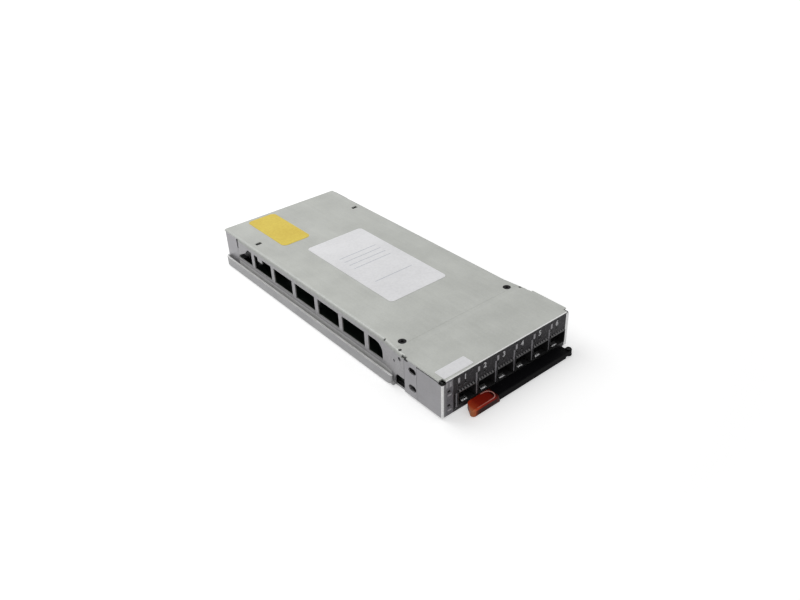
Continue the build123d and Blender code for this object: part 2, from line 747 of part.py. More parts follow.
# Cover nuts set in the top flanges, and the countersunk screws that hold the cover
nut_bottom = under_cover - nut_height
cover_nuts = []
cover_screws = []
for x, d in screw_spots:
    nut = post(x, d, nut_bottom, under_cover, nut_radius)
    nut -= post(x, d, nut_bottom - past, under_cover + past, cover_screw_radius + thread_gap)
    cover_nuts.append(nut)
    head = Pos(x, front_y + d, under_cover + cover_sheet / 2) * head_cone
    shank = post(x, d, under_cover - cover_screw_length, under_cover, cover_screw_radius)
    socket = Pos(x, front_y + d, under_cover) * extrude(RegularPolygon(cover_screw_socket, 6),
                                                       amount=body_height)
    cover_screws.append(head + shank - socket)

# Touch tab: slanted left end, sloping right end, rounded edges and a finger dish, over the handle's tongue
tab_bottom = tray_top - tab_drop
tab_top = tab_bottom + tab_height
tab_rear_left = tab_left + tab_left_slant
top_right = tab_right - tab_right_slope
tab_base = plan([(tab_left, -tab_front), (tab_right, -tab_front), (tab_right, -handle_gap),
                 (tab_rear_left, -handle_gap)])
tab_crown = plan([(tab_left, -tab_front), (top_right, -tab_front), (top_right, -handle_gap),
                  (tab_rear_left, -handle_gap)])
tab_outer = loft([Pos(0, 0, tab_bottom) * tab_base, Pos(0, 0, tab_top) * tab_crown], ruled=True)
tab_rounds = [(tab_left, -tab_front, tab_front_round), (tab_rear_left, -handle_gap, tab_rear_round),
              (tab_right, -tab_front, tab_right_round)]
for x, d, radius in tab_rounds:
    upright = tab_outer.edges().filter_by(lambda e: abs(e.tangent_at(0.5).Z) > 0.5)
    upright = upright.sort_by_distance((x, front_y + d, tab_bottom))[0]
    tab_outer = fillet(upright, radius)
tab_outer = fillet(tab_outer.faces().sort_by(Axis.Z)[-1].edges(), tab_edge)
tongue_bottom = handle_bottom + tongue_lift
tongue_mid = -(tab_front + handle_gap) / 2
tongue = block(tab_rear_left + tongue_end_wall, tab_right, tongue_mid - tongue_depth / 2,
               tongue_mid + tongue_depth / 2, tongue_bottom, tongue_bottom + tongue_height)
dish_right = top_right - tab_dish_rim
dish_left = tab_left - tab_front
dish_width = tab_front - handle_gap - 2 * tab_dish_rim
dish = Pos((dish_left + dish_right) / 2, front_y + tongue_mid, tab_top - tab_dish_depth) * extrude(
    SlotOverall(dish_right - dish_left, dish_width), amount=tab_dish_depth + past)
tab = tab_outer - tongue - dish

# Ejector handle: bar in front of the ports, cut to the tab's slope, narrower pivot arm, and the tongue
bar_end = pivot_x - bar_end_gap
bar = block(top_right - past, bar_end, -handle_front, -handle_gap, handle_bottom - bar_skirt,
            handle_bottom + bar_height)
bar = fillet(bar.faces().sort_by(Axis.Z)[-1].edges(), bar_edge)
slope_cut = make_face(Polyline((tab_left, tab_bottom), (tab_right, tab_bottom), (top_right, tab_top),
                               (tab_left, tab_top), close=True))
slope_cut = Pos(0, front_y, 0) * extrude(Plane.XZ * slope_cut, amount=handle_front + past)
arm = block(bar_end - arm_width, pivot_x, -handle_front, arm_width - handle_front, handle_bottom, arm_top)
arm += post(pivot_x, pivot_depth, handle_bottom, arm_top, arm_width / 2)
handle = bar + arm - slope_cut + (tongue & tab_outer)
handle -= post(pivot_x, pivot_depth, 0, arm_top + past, pivot_radius + pivot_gap)

# Labels on the cover
label_top = body_height + label_sheet
yellow_left = yellow_label_side_gap - rear_half
yellow_end = body_length - yellow_label_rear_gap
yellow_start = yellow_end - yellow_label_length
yellow_box = (yellow_left, yellow_left + yellow_label_width, yellow_start, yellow_end)
main_box = (main_label_x - main_label_width / 2, main_label_x + main_label_width / 2, main_label_start,
            yellow_start - label_spacing)
small_left = small_label_side_gap - front_half
small_box = (small_left, small_left + small_label_width, small_label_depths[0], small_label_depths[1])
main_label = rounded_plate(main_box, main_label_corner, body_height, label_top)
yellow_label = rounded_plate(yellow_box, yellow_label_corner, body_height, label_top)
small_label = rounded_plate(small_box, small_label_corner, body_height, label_top)

# Every piece in its own file
save(tray, "bottom_tray")
save(chassis, "front_chassis")
save(faceplate, "faceplate")
save(cover, "top_cover")
save(cap, "rear_cap")
save(board, "main_board")
for number, cage in enumerate(cages, start=1):
    save(cage, f"port_cage_{number}")
save(Part() + connectors, "port_connectors")
save(Part() + port_pipes, "port_light_pipes")
save(Part() + status_pipes, "status_light_pipes")
save(Part() + lamps, "board_lamps")
save(Part() + chips, "signal_chips")
save(Part() + sinks, "heat_sinks")
save(Part() + capacitors, "capacitors")
save(backplane, "backplane_connector")
save(Part() + guides, "guide_sockets")
save(Part() + standoffs, "board_standoffs")
save(Part() + board_screws, "board_screws")
save(Part() + cover_nuts, "cover_nuts")
save(Part() + cover_screws, "cover_screws")
save(Part() + tray_rivets, "tray_rivets")
save(bracket, "pivot_bracket")
save(Part() + bracket_rivets, "bracket_rivets")
save(pin, "pivot_pin")
save(handle, "ejector_handle")
save(tab, "touch_tab")
save(main_label, "main_label")
save(yellow_label, "yellow_label")
save(small_label, "small_label")
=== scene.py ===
import json
import math

import bmesh
import bpy
from mathutils import Matrix, Vector


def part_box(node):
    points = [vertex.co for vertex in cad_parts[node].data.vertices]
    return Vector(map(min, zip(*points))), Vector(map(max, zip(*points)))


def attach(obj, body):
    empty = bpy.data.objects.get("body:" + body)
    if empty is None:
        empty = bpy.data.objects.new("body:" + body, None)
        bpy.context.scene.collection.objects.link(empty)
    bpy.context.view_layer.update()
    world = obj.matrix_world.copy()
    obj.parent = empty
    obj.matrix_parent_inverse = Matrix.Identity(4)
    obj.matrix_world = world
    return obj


MM = 0.001

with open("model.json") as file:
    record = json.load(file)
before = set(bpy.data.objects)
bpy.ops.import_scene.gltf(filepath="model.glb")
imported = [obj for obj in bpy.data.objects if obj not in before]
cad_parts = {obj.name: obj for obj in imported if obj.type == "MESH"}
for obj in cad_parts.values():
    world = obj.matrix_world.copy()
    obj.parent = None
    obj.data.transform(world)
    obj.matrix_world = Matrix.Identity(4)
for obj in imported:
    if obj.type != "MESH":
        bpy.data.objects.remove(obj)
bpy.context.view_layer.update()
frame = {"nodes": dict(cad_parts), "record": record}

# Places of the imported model, in mm: the front face, the cover's top and half its width at the front.
# Further back the side walls stand at REAR_HALF, and the tray's guide lips begin at RAIL_INNER
face_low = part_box("faceplate")[0]
cover_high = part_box("top_cover")[1]
FRONT_Y = face_low.y / MM
COVER_TOP = cover_high.z / MM
HALF_WIDTH = cover_high.x / MM
REAR_HALF = 54.0
RAIL_INNER = 56.5
# Height of the cages' tops, and the middles of the port row
CAGE_TOP = 14.6
PORT_CENTERS = []
for number in range(1, 7):
    cage_low, cage_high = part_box(f"port_cage_{number}")
    PORT_CENTERS.append((cage_low.x + cage_high.x) / 2 / MM)


def linear(code):
    """Linear RGBA values of an sRGB hex colour."""
    parts = [int(code[i:i + 2], 16) / 255 for i in (1, 3, 5)]
    return [c / 12.92 if c <= 0.04045 else ((c + 0.055) / 1.055) ** 2.4 for c in parts] + [1.0]


def add_node(tree, kind, inputs=None, stops=None, **settings):
    """Add one node, give it its settings and ramp stops, and set or link its inputs."""
    node = tree.nodes.new(kind)
    for key, value in settings.items():
        setattr(node, key, value)
    for key, value in (inputs or {}).items():
        if isinstance(value, bpy.types.NodeSocket):
            tree.links.new(value, node.inputs[key])
        else:
            node.inputs[key].default_value = value
    if stops:
        elements = node.color_ramp.elements
        while len(elements) < len(stops):
            elements.new(0.5)
        for element, (position, code) in zip(elements, stops):
            element.position = position
            element.color = linear(code)
    return node


def new_material(name, metallic=0.0, roughness=0.5, **more):
    """A material with one Principled shader. Returns the material, its node tree and the shader."""
    material = bpy.data.materials.new(name)
    material.use_nodes = True
    tree = material.node_tree
    shader = tree.nodes["Principled BSDF"]
    shader.inputs["Metallic"].default_value = metallic
    shader.inputs["Roughness"].default_value = roughness
    for key, value in more.items():
        shader.inputs[key.replace("_", " ")].default_value = value
    return material, tree, shader


def tones(dark, light, first=0.3, last=0.7):
    """Stops of a colour ramp that runs from a dark tone to a light one."""
    return [(first, dark), (last, light)]


def per_mm(size):
    """Noise scale that gives features of about this size in mm on Object coordinates in metres."""
    return 1 / (size * MM)


def inside_box(tree, place, low, high):
    """1 inside the box between two corners in mm, 0 outside it. None leaves that side open."""
    xyz = add_node(tree, "ShaderNodeSeparateXYZ", {"Vector": place}).outputs
    mask = None
    for axis, bottom, top in zip("XYZ", low, high):
        for limit, test in ((bottom, "GREATER_THAN"), (top, "LESS_THAN")):
            if limit is None:
                continue
            passed = add_node(tree, "ShaderNodeMath", {0: xyz[axis], 1: limit * MM}, operation=test)
            if mask is not None:
                passed = add_node(tree, "ShaderNodeMath", {0: mask, 1: passed.outputs[0]},
                                  operation="MULTIPLY")
            mask = passed.outputs[0]
    return mask


def sheet_steel(name, dark, light, metallic, roughness, zones=(), creases=(), **more):
    """Cold-rolled sheet, coated with zinc or tin, cut and folded. It gives the eye a satin grey skin with
    soft clouds, faint streaks along the rolling direction and a fine grain that breaks up its reflections.
    The coating's own grain is far finer and is drawn 1.3 mm wide, so that it shows. A zone is a box with
    its own tones, metallic and roughness. A crease is a shallow pressed step across the sheet, given by
    the depths in mm at its foot and its top, and its rise."""
    material, tree, shader = new_material(name, metallic, roughness, **more)
    place = add_node(tree, "ShaderNodeTexCoord").outputs["Object"]
    rolled = add_node(tree, "ShaderNodeMapping", {"Vector": place, "Scale": (1.0, 0.07, 1.0)})
    clouds = add_node(tree, "ShaderNodeTexNoise", {"Vector": place, "Scale": per_mm(22), "Detail": 3.0,
                                                   "Roughness": 0.55})
    streaks = add_node(tree, "ShaderNodeTexNoise", {"Vector": rolled.outputs["Vector"], "Scale": per_mm(2.0),
                                                    "Detail": 1.0, "Roughness": 0.5})
    grain = add_node(tree, "ShaderNodeTexNoise", {"Vector": place, "Scale": per_mm(1.3), "Detail": 3.0,
                                                  "Roughness": 0.6})
    mixed = add_node(tree, "ShaderNodeMix", {0: 0.22, 2: clouds.outputs["Fac"], 3: streaks.outputs["Fac"]})
    mixed = add_node(tree, "ShaderNodeMix", {0: 0.3, 2: mixed.outputs[0], 3: grain.outputs["Fac"]})
    color = add_node(tree, "ShaderNodeValToRGB", {"Fac": mixed.outputs[0]},
                     stops=tones(dark, light, 0.33, 0.67)).outputs["Color"]
    rough = add_node(tree, "ShaderNodeMapRange", {"Value": mixed.outputs[0], "From Min": 0.3, "From Max": 0.7,
                                                  "To Min": roughness - 0.06,
                                                  "To Max": roughness + 0.06}).outputs["Result"]
    metal = None
    for low, high, stops, zone_metallic, zone_roughness in zones:
        mask = inside_box(tree, place, low, high)
        toned = add_node(tree, "ShaderNodeValToRGB", {"Fac": grain.outputs["Fac"]}, stops=stops)
        color = add_node(tree, "ShaderNodeMix", {0: mask, 6: color, 7: toned.outputs["Color"]},
                         data_type="RGBA").outputs[2]
        rough = add_node(tree, "ShaderNodeMix", {0: mask, 2: rough, 3: zone_roughness}).outputs[0]
        before = metallic if metal is None else metal
        metal = add_node(tree, "ShaderNodeMix", {0: mask, 2: before, 3: zone_metallic}).outputs[0]
    tree.links.new(color, shader.inputs["Base Color"])
    tree.links.new(rough, shader.inputs["Roughness"])
    if metal is not None:
        tree.links.new(metal, shader.inputs["Metallic"])
    bump = add_node(tree, "ShaderNodeBump", {"Strength": 0.10, "Distance": 0.05 * MM,
                                             "Height": grain.outputs["Fac"]})
    depth = add_node(tree, "ShaderNodeSeparateXYZ", {"Vector": place}).outputs["Y"]
    for start, end, rise in creases:
        step = add_node(tree, "ShaderNodeMapRange", {"Value": depth, "From Min": (FRONT_Y + start) * MM,
                                                     "From Max": (FRONT_Y + end) * MM})
        bump = add_node(tree, "ShaderNodeBump", {"Strength": 1.0, "Distance": rise * MM,
                                                 "Height": step.outputs["Result"],
                                                 "Normal": bump.outputs["Normal"]})
    tree.links.new(bump.outputs["Normal"], shader.inputs["Normal"])
    return material


def moulded(name, dark, light, roughness, size=1.4, bump_strength=0.15, tint=None, zones=(), **more):
    """Injection-moulded or cast resin. It gives the eye an even colour with a slight cloud, and the fine
    spark-eroded grain of its mould, drawn about 1.4 mm wide so that it shows. A tint is a range of x in mm
    with its colour stops, for colour that changes along a part's length, and a zone is a box of the part in
    another colour. In this script both carry painted light and shade on the touch tab and its lip."""
    material, tree, shader = new_material(name, 0.0, roughness, **more)
    place = add_node(tree, "ShaderNodeTexCoord").outputs["Object"]
    cloud = add_node(tree, "ShaderNodeTexNoise", {"Vector": place, "Scale": per_mm(9), "Detail": 2.0})
    grain = add_node(tree, "ShaderNodeTexNoise", {"Vector": place, "Scale": per_mm(size), "Detail": 2.0})
    mixed = add_node(tree, "ShaderNodeMix", {0: 0.4, 2: cloud.outputs["Fac"], 3: grain.outputs["Fac"]})
    color = add_node(tree, "ShaderNodeValToRGB", {"Fac": mixed.outputs[0]},
                     stops=tones(dark, light, 0.35, 0.65)).outputs["Color"]
    if tint:
        first, last, stops = tint
        x = add_node(tree, "ShaderNodeSeparateXYZ", {"Vector": place}).outputs["X"]
        along = add_node(tree, "ShaderNodeMapRange", {"Value": x, "From Min": first * MM,
                                                      "From Max": last * MM})
        drift = add_node(tree, "ShaderNodeValToRGB", {"Fac": along.outputs["Result"]}, stops=stops)
        color = add_node(tree, "ShaderNodeMix", {0: 0.8, 6: color, 7: drift.outputs["Color"]},
                         data_type="RGBA").outputs[2]
    for low, high, stops in zones:
        mask = inside_box(tree, place, low, high)
        shot = add_node(tree, "ShaderNodeValToRGB", {"Fac": grain.outputs["Fac"]}, stops=stops)
        color = add_node(tree, "ShaderNodeMix", {0: mask, 6: color, 7: shot.outputs["Color"]},
                         data_type="RGBA").outputs[2]
    tree.links.new(color, shader.inputs["Base Color"])
    rough = add_node(tree, "ShaderNodeMapRange", {"Value": grain.outputs["Fac"], "From Min": 0.3,
                                                  "From Max": 0.7, "To Min": roughness - 0.05,
                                                  "To Max": roughness + 0.05})
    tree.links.new(rough.outputs["Result"], shader.inputs["Roughness"])
    bump = add_node(tree, "ShaderNodeBump", {"Strength": bump_strength, "Distance": 0.08 * MM,
                                             "Height": grain.outputs["Fac"]})
    tree.links.new(bump.outputs["Normal"], shader.inputs["Normal"])
    return material


def coated_paper(name, dark, light):
    """Clay-coated label paper, die cut. It gives the eye a bright, even face with the faint flecks of its
    fibres, drawn 2 mm wide so that they show."""
    material, tree, shader = new_material(name, 0.0, 0.42)
    place = add_node(tree, "ShaderNodeTexCoord").outputs["Object"]
    fibre = add_node(tree, "ShaderNodeTexNoise", {"Vector": place, "Scale": per_mm(2.0), "Detail": 2.0,
                                                  "Roughness": 0.5})
    cloud = add_node(tree, "ShaderNodeTexNoise", {"Vector": place, "Scale": per_mm(30), "Detail": 1.0})
    mixed = add_node(tree, "ShaderNodeMix", {0: 0.5, 2: fibre.outputs["Fac"], 3: cloud.outputs["Fac"]})
    color = add_node(tree, "ShaderNodeValToRGB", {"Fac": mixed.outputs[0]},
                     stops=tones(dark, light, 0.35, 0.65))
    tree.links.new(color.outputs["Color"], shader.inputs["Base Color"])
    bump = add_node(tree, "ShaderNodeBump", {"Strength": 0.06, "Distance": 0.03 * MM,
                                             "Height": fibre.outputs["Fac"]})
    tree.links.new(bump.outputs["Normal"], shader.inputs["Normal"])
    return material


def turned_metal(name, dark, light, roughness, metallic=0.9, **more):
    """Small turned, stamped, drawn or cast metal parts. They give the eye a satin shine with fine tool
    marks, drawn 0.8 mm apart so that they show."""
    material, tree, shader = new_material(name, metallic, roughness, **more)
    place = add_node(tree, "ShaderNodeTexCoord").outputs["Object"]
    marks = add_node(tree, "ShaderNodeTexNoise", {"Vector": place, "Scale": per_mm(0.8), "Detail": 3.0})
    color = add_node(tree, "ShaderNodeValToRGB", {"Fac": marks.outputs["Fac"]}, stops=tones(dark, light))
    tree.links.new(color.outputs["Color"], shader.inputs["Base Color"])
    bump = add_node(tree, "ShaderNodeBump", {"Strength": 0.15, "Distance": 0.03 * MM,
                                             "Height": marks.outputs["Fac"]})
    tree.links.new(bump.outputs["Normal"], shader.inputs["Normal"])
    return material


def printed_ink(name, dark, light):
    """Screen-printed ink on a plastic film. It gives the eye a matt mark with a slightly broken cover."""
    material, tree, shader = new_material(name, 0.0, 0.55)
    place = add_node(tree, "ShaderNodeTexCoord").outputs["Object"]
    cover = add_node(tree, "ShaderNodeTexNoise", {"Vector": place, "Scale": per_mm(0.7), "Detail": 2.0})
    color = add_node(tree, "ShaderNodeValToRGB", {"Fac": cover.outputs["Fac"]},
                     stops=tones(dark, light, 0.3, 0.6))
    tree.links.new(color.outputs["Color"], shader.inputs["Base Color"])
    return material


# Limits of the zones below, in mm, each a little past the face, seam or bend that it follows
FACE_BACK = FRONT_Y + 0.05
SHEET_BACK = FRONT_Y + 0.85
CORNER_BACK = FRONT_Y + 3.3
RELIEF_START = FRONT_Y + 30.5
RELIEF_END = FRONT_Y + 37
SEAM = FRONT_Y + 34.1
CHANNEL_START = FRONT_Y + 48
FLOOR_TONGUE_END = FRONT_Y + 66
CORNER_INNER = 52.7
WALL_FACE = REAR_HALF - 0.3
LIP_TOP = 7.93
CHANNEL_TOP = 9.0
BEND_BOTTOM = COVER_TOP - 2.2
COVER_SKIN = COVER_TOP - 0.02
TAB_LEDGE = 4.1

# Tones of the folded sheets. The two edge tones are bare cut metal with a painted highlight on it. The
# other tones paint in what light does: the dark one is painted deep shade inside, and bends, walls and
# channels each have a painted grey of the light and shade on them
BARE_EDGE_HIGHLIGHT = tones("#EDEDEC", "#FFFFFF")
SHEARED_EDGE_HIGHLIGHT = tones("#D2D2D1", "#E6E6E5")
PAINTED_INNER_SHADE = tones("#141415", "#1D1D1E")
CHANNEL_SIDE = tones("#CFCFCE", "#DDDDDC")
WALL_TONE = tones("#A7A6A8", "#B9B8BA")
FRONT_BEND = tones("#C2C4BF", "#D5D7D2")
REAR_BEND = tones("#A5A7A3", "#B6B8B4")
SHADED_EDGE = tones("#5C5C5A", "#70706E")

# Zones of the materials: low corner, high corner, tones, metallic and roughness. The tab's have only tones
COVER_ZONES = [
    # Painted shade inside the cover, a painted highlight on its front rim, and painted light and shade on its
    # bends
    ((2.8 - HALF_WIDTH, None, None), (HALF_WIDTH - 2.8, None, COVER_TOP - 0.9), PAINTED_INNER_SHADE, 0.0, 0.7),
    ((None, None, COVER_TOP - 1.05), (None, FACE_BACK, None), SHEARED_EDGE_HIGHLIGHT, 1.0, 0.25),
    ((None, FRONT_Y + 0.9, COVER_TOP - 1.9), (None, FRONT_Y + 31, COVER_SKIN), FRONT_BEND, 0.35, 0.42),
    ((None, SEAM, BEND_BOTTOM), (None, None, COVER_SKIN), REAR_BEND, 0.3, 0.46),
    # Painted shade on both side walls, and painted light on their feet in the guide channels
    ((None, SEAM, None), (-WALL_FACE, None, BEND_BOTTOM), WALL_TONE, 0.38, 0.42),
    ((WALL_FACE, SEAM, None), (None, None, BEND_BOTTOM), WALL_TONE, 0.38, 0.42),
    ((None, CHANNEL_START, None), (-WALL_FACE, None, CHANNEL_TOP), CHANNEL_SIDE, 0.0, 0.6),
    ((WALL_FACE, CHANNEL_START, None), (None, None, CHANNEL_TOP), CHANNEL_SIDE, 0.0, 0.6),
    # A darker stretch at the rear of the right top edge
    ((HALF_WIDTH - 2.9, FRONT_Y + 219, COVER_TOP - 1.4), (None, FRONT_Y + 257, None), SHADED_EDGE, 0.2, 0.5),
]
TRAY_ZONES = [
    # Painted shade on the floor inside, painted light in the channels, and a painted highlight on the cut
    # tops
    # # of the guide lips
    ((0.3 - HALF_WIDTH, None, 1.45), (HALF_WIDTH - 0.3, None, 1.6), PAINTED_INNER_SHADE, 0.0, 0.7),
    ((-RAIL_INNER - 0.05, None, 1.4), (-REAR_HALF, None, 7.9), CHANNEL_SIDE, 0.0, 0.6),
    ((REAR_HALF, None, 1.4), (RAIL_INNER + 0.05, None, 7.9), CHANNEL_SIDE, 0.0, 0.6),
    ((RAIL_INNER - 0.1, None, LIP_TOP), (None, None, None), SHEARED_EDGE_HIGHLIGHT, 0.3, 0.4),
    ((None, None, LIP_TOP), (0.1 - RAIL_INNER, None, None), SHEARED_EDGE_HIGHLIGHT, 0.3, 0.4),
]
CHASSIS_ZONES = [
    # Painted shade on the floor tongue behind the seam, below the relief notches, and below the open front
    # corners
    ((None, SEAM, None), (None, FLOOR_TONGUE_END, 12.0), PAINTED_INNER_SHADE, 0.0, 0.7),
    ((None, RELIEF_START, 26.0), (-54.0, RELIEF_END, None), PAINTED_INNER_SHADE, 0.0, 0.7),
    ((54.0, RELIEF_START, 26.0), (None, RELIEF_END, None), PAINTED_INNER_SHADE, 0.0, 0.7),
    ((None, None, 24.6), (-CORNER_INNER, CORNER_BACK, COVER_TOP - 1.1), PAINTED_INNER_SHADE, 0.0, 0.7),
    ((CORNER_INNER, None, 24.6), (None, CORNER_BACK, COVER_TOP - 1.1), PAINTED_INNER_SHADE, 0.0, 0.7),
]
FACE_ZONES = [
    # The mottled film, its paler left end with the lamps, and the pale field above them
    ((None, None, None), (None, FACE_BACK, None),
     [(0.32, "#0C0B0C"), (0.50, "#211F22"), (0.62, "#3A383C"), (0.74, "#6A686C")], 0.0, 0.5),
    ((None, None, None), (-47.2, FACE_BACK, None), tones("#656368", "#89878C"), 0.1, 0.5),
    ((None, None, None), (-52.6, FACE_BACK, None), tones("#7D7C80", "#949396"), 0.2, 0.45),
    ((None, None, 21.8), (-47.6, FACE_BACK, 26.2), tones("#8A888C", "#A19FA3"), 0.1, 0.5),
    # The bare ends of the sheet with a painted highlight on their rounded corners, and painted shade in the
    # # open corners above them
    ((None, None, None), (-54.5, SHEET_BACK, None), BARE_EDGE_HIGHLIGHT, 0.45, 0.35),
    ((52.9, None, None), (None, SHEET_BACK, None), BARE_EDGE_HIGHLIGHT, 0.4, 0.4),
    ((None, None, 25.8), (-CORNER_INNER, CORNER_BACK, None), PAINTED_INNER_SHADE, 0.0, 0.7),
    ((CORNER_INNER, FRONT_Y + 0.9, 26.0), (None, CORNER_BACK, None), PAINTED_INNER_SHADE, 0.0, 0.7),
]
CAGE_ZONES = [
    # Painted shade inside the cages, and on the bent front of their latch tongues
    ((None, None, None), (None, None, CAGE_TOP - 0.02), tones("#0B0B0C", "#131314"), 0.0, 0.6),
    ((None, None, None), (None, FRONT_Y - 0.55, CAGE_TOP), tones("#3C3C3D", "#4C4C4D"), 0.5, 0.4),
]
TAB_ZONES = [
    # Shade on the tab's front, which deepens from its tip to the handle, and on its right end
    ((-38.4, None, None), (None, None, TAB_LEDGE), tones("#7A3316", "#8C3E1C")),
    ((-36.8, None, None), (None, None, TAB_LEDGE), tones("#43180C", "#542010")),
    ((-35.2, None, None), (None, None, TAB_LEDGE), tones("#280C07", "#34120C")),
    ((-21.0, None, None), (None, None, None), tones("#4A110B", "#5A1710")),
    ((-19.2, None, None), (None, None, None), tones("#220A07", "#300F0B")),
]

# The shallow ridge across the cover behind its front, as two creases
COVER_CREASES = [(43.4, 44.4, 0.22), (40.8, 38.4, 0.22)]

# Painted light and shade along the touch tab, from a pale painted highlight at its tip to painted shade by
# the handle
TAB_LIGHT_AND_SHADE = (-42.0, -20.0, [(0.05, "#F29A68"), (0.20, "#D8552E"), (0.42, "#A32614"), (0.95, "#84170E")])

# Materials of the record's slots
MATERIALS = {
    # Zinc-coated steel sheet, rolled and folded: a light satin grey with soft clouds, bright cut edges under
    # a painted highlight, and painted light and shade on its bends, walls and inside
    "cover_steel": sheet_steel("zinc_coated_cover_sheet", "#B0B2AD", "#C3C5C0", 0.35, 0.42, COVER_ZONES,
                               COVER_CREASES),
    # The same sheet in the tray: cooler and greyer, with a painted highlight as a thin bright line along its
    # # guide lips, painted light in its channels and painted shade on its floor inside
    "tray_steel": sheet_steel("zinc_coated_tray_sheet", "#A3A3A4", "#B7B7B8", 0.4, 0.42, TRAY_ZONES),
    # The same sheet in the front chassis and the rear cap: cool grey, with painted shade where it folds
    # inwards
    "chassis_steel": sheet_steel("zinc_coated_chassis_sheet", "#A5A4A7", "#B9B8BB", 0.4, 0.42,
                                 CHASSIS_ZONES),
    # The same sheet under a printed film: bare at both ends, with a painted highlight on their rounded
    # corners
    # # and painted shade in the open corners above, and a mottled charcoal between them
    "face_paint": sheet_steel("zinc_coated_faceplate_with_dark_film", "#A5A4A7", "#B9B8BB", 0.4, 0.42,
                              FACE_ZONES, Specular_IOR_Level=0.25),
    # Tin-plated steel, stamped and folded. Bare it would be bright, but the photograph shows dull grey
    # mouths and fingers round dark insides, so it is drawn darker
    # Its darker grey is painted shade, and its zones paint deeper shade inside the cages and on their fronts
    "cage_steel": sheet_steel("tin_plated_cage_sheet", "#4F4E4F", "#6C6B6C", 0.5, 0.36, CAGE_ZONES),
    # Solder mask, screened and cured on the board: a near-black green with a slight gloss
    "board_mask": moulded("dark_solder_mask", "#0A120E", "#121E17", 0.35),
    # Glass-filled nylon, moulded: an even black with a dull sheen
    "connector_plastic": moulded("black_glass_filled_nylon", "#0E0E0F", "#191919", 0.5),
    # Clear acrylic, moulded: small windows drawn near black as painted shade, for the dark inside behind them
    # # while no lamp is lit
    "clear_plastic": moulded("clear_acrylic_painted_shade", "#090809", "#100F10", 0.4, Specular_IOR_Level=0.12),
    # Epoxy, cast clear: small pale domes with a gloss
    "lamp_plastic": moulded("clear_lamp_epoxy", "#C9C8BE", "#DEDDD4", 0.2),
    # Epoxy moulding compound: matt black blocks
    "chip_resin": moulded("black_moulding_epoxy", "#101010", "#1B1B1B", 0.55),
    # Aluminium, extruded and anodised black: soft black with a weak shine along its fins
    "sink_aluminium": turned_metal("black_anodised_aluminium", "#121213", "#1C1C1D", 0.5, 0.5),
    # Aluminium, deep drawn: bright and smooth cans
    "can_aluminium": turned_metal("drawn_aluminium_can", "#A9ABAD", "#C4C6C8", 0.3),
    # Zinc, die cast: mid grey with a slightly grainy shine
    "guide_metal": turned_metal("die_cast_zinc", "#8A8B8C", "#A2A3A4", 0.42),
    # Brass, turned: warm yellow with a clear shine
    "standoff_brass": turned_metal("turned_brass", "#B89A55", "#CDB26C", 0.3),
    # Steel, turned or stamped and zinc-plated: pale grey heads with a soft shine
    "zinc_steel": turned_metal("zinc_plated_steel", "#9C9D9D", "#B7B8B8", 0.35),
    # Steel, turned or stamped and blackened: dull black that hides the recess of a screw head
    "black_screw": turned_metal("black_oxide_steel", "#070708", "#0E0E0F", 0.5, 0.0,
                                Specular_IOR_Level=0.12),
    # Nylon, moulded in a satin tool: a deep black that hardly mirrors the room
    "handle_black": moulded("black_satin_nylon", "#050507", "#0A0A0C", 0.55, Specular_IOR_Level=0.05),
    # Polycarbonate, moulded in one terracotta. Light makes its tip pale, and shade makes it deep red and
    # near black by the handle, which its drift and its zones paint in
    "touch_orange": moulded("terracotta_polycarbonate", "#8A2012", "#A02A1A", 0.45, tint=TAB_LIGHT_AND_SHADE,
                            zones=TAB_ZONES, Specular_IOR_Level=0.1),
    # Coated paper, die cut: a bright, cool white with faint flecks
    "white_paper": coated_paper("white_label_stock", "#E5E5E7", "#F1F1F3"),
    # The same paper printed yellow: an even, warm yellow
    "yellow_paper": coated_paper("yellow_label_stock", "#DDBF34", "#E8CF47"),
}
for row in frame["record"]["subparts"]:
    node = frame["nodes"][row["node"]]
    node.data.materials.clear()
    node.data.materials.append(MATERIALS[row["material_slot"]])


def printed_patch(mesh, x, z, width, height, corner=0.15, lift=0.05):
    """Add a thin printed patch with rounded corners that lies on the faceplate, sizes in mm."""
    place = Matrix.Translation(Vector((x, FRONT_Y - lift / 2, z)) * MM)
    size = Matrix.Diagonal((width * MM, lift * MM, height * MM, 1.0))
    made = bmesh.ops.create_cube(mesh, size=1.0, matrix=place @ size)
    upright = {edge for vert in made["verts"] for edge in vert.link_edges
               if abs(edge.verts[0].co.y - edge.verts[1].co.y) > lift * MM / 2}
    bmesh.ops.bevel(mesh, geom=list(upright), offset=corner * MM, segments=3, profile=0.5, material=-1,
                    affect="EDGES")


def finish_piece(data, name, material, body="module"):
    """Make an object from a mesh or a bmesh, and let it ride on its body."""
    if isinstance(data, bmesh.types.BMesh):
        mesh = data
        data = bpy.data.meshes.new(name)
        bmesh.ops.recalc_face_normals(mesh, faces=mesh.faces)
        mesh.to_mesh(data)
        mesh.free()
    data.name = name
    data.materials.clear()
    data.materials.append(material)
    piece = bpy.data.objects.new(name, data)
    bpy.context.scene.collection.objects.link(piece)
    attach(piece, body)
    return piece


def mesh_of_curve(curve, place):
    """Mesh of a text or bevelled curve, moved to its place."""
    holder = bpy.data.objects.new("curve_holder", curve)
    bpy.context.scene.collection.objects.link(holder)
    bpy.context.view_layer.update()
    data = bpy.data.meshes.new_from_object(holder.evaluated_get(bpy.context.evaluated_depsgraph_get()))
    bpy.data.objects.remove(holder)
    data.transform(place)
    return data


# Printed marks on the faceplate: lines beside the ports, and plain marks at the lamps
bright_ink = printed_ink("white_screen_ink", "#DADADC", "#F6F6F8")
grey_ink = printed_ink("light_grey_screen_ink", "#AEACB0", "#CBC9CD")
dull_ink = printed_ink("pale_grey_screen_ink", "#7E7C80", "#9B999E")
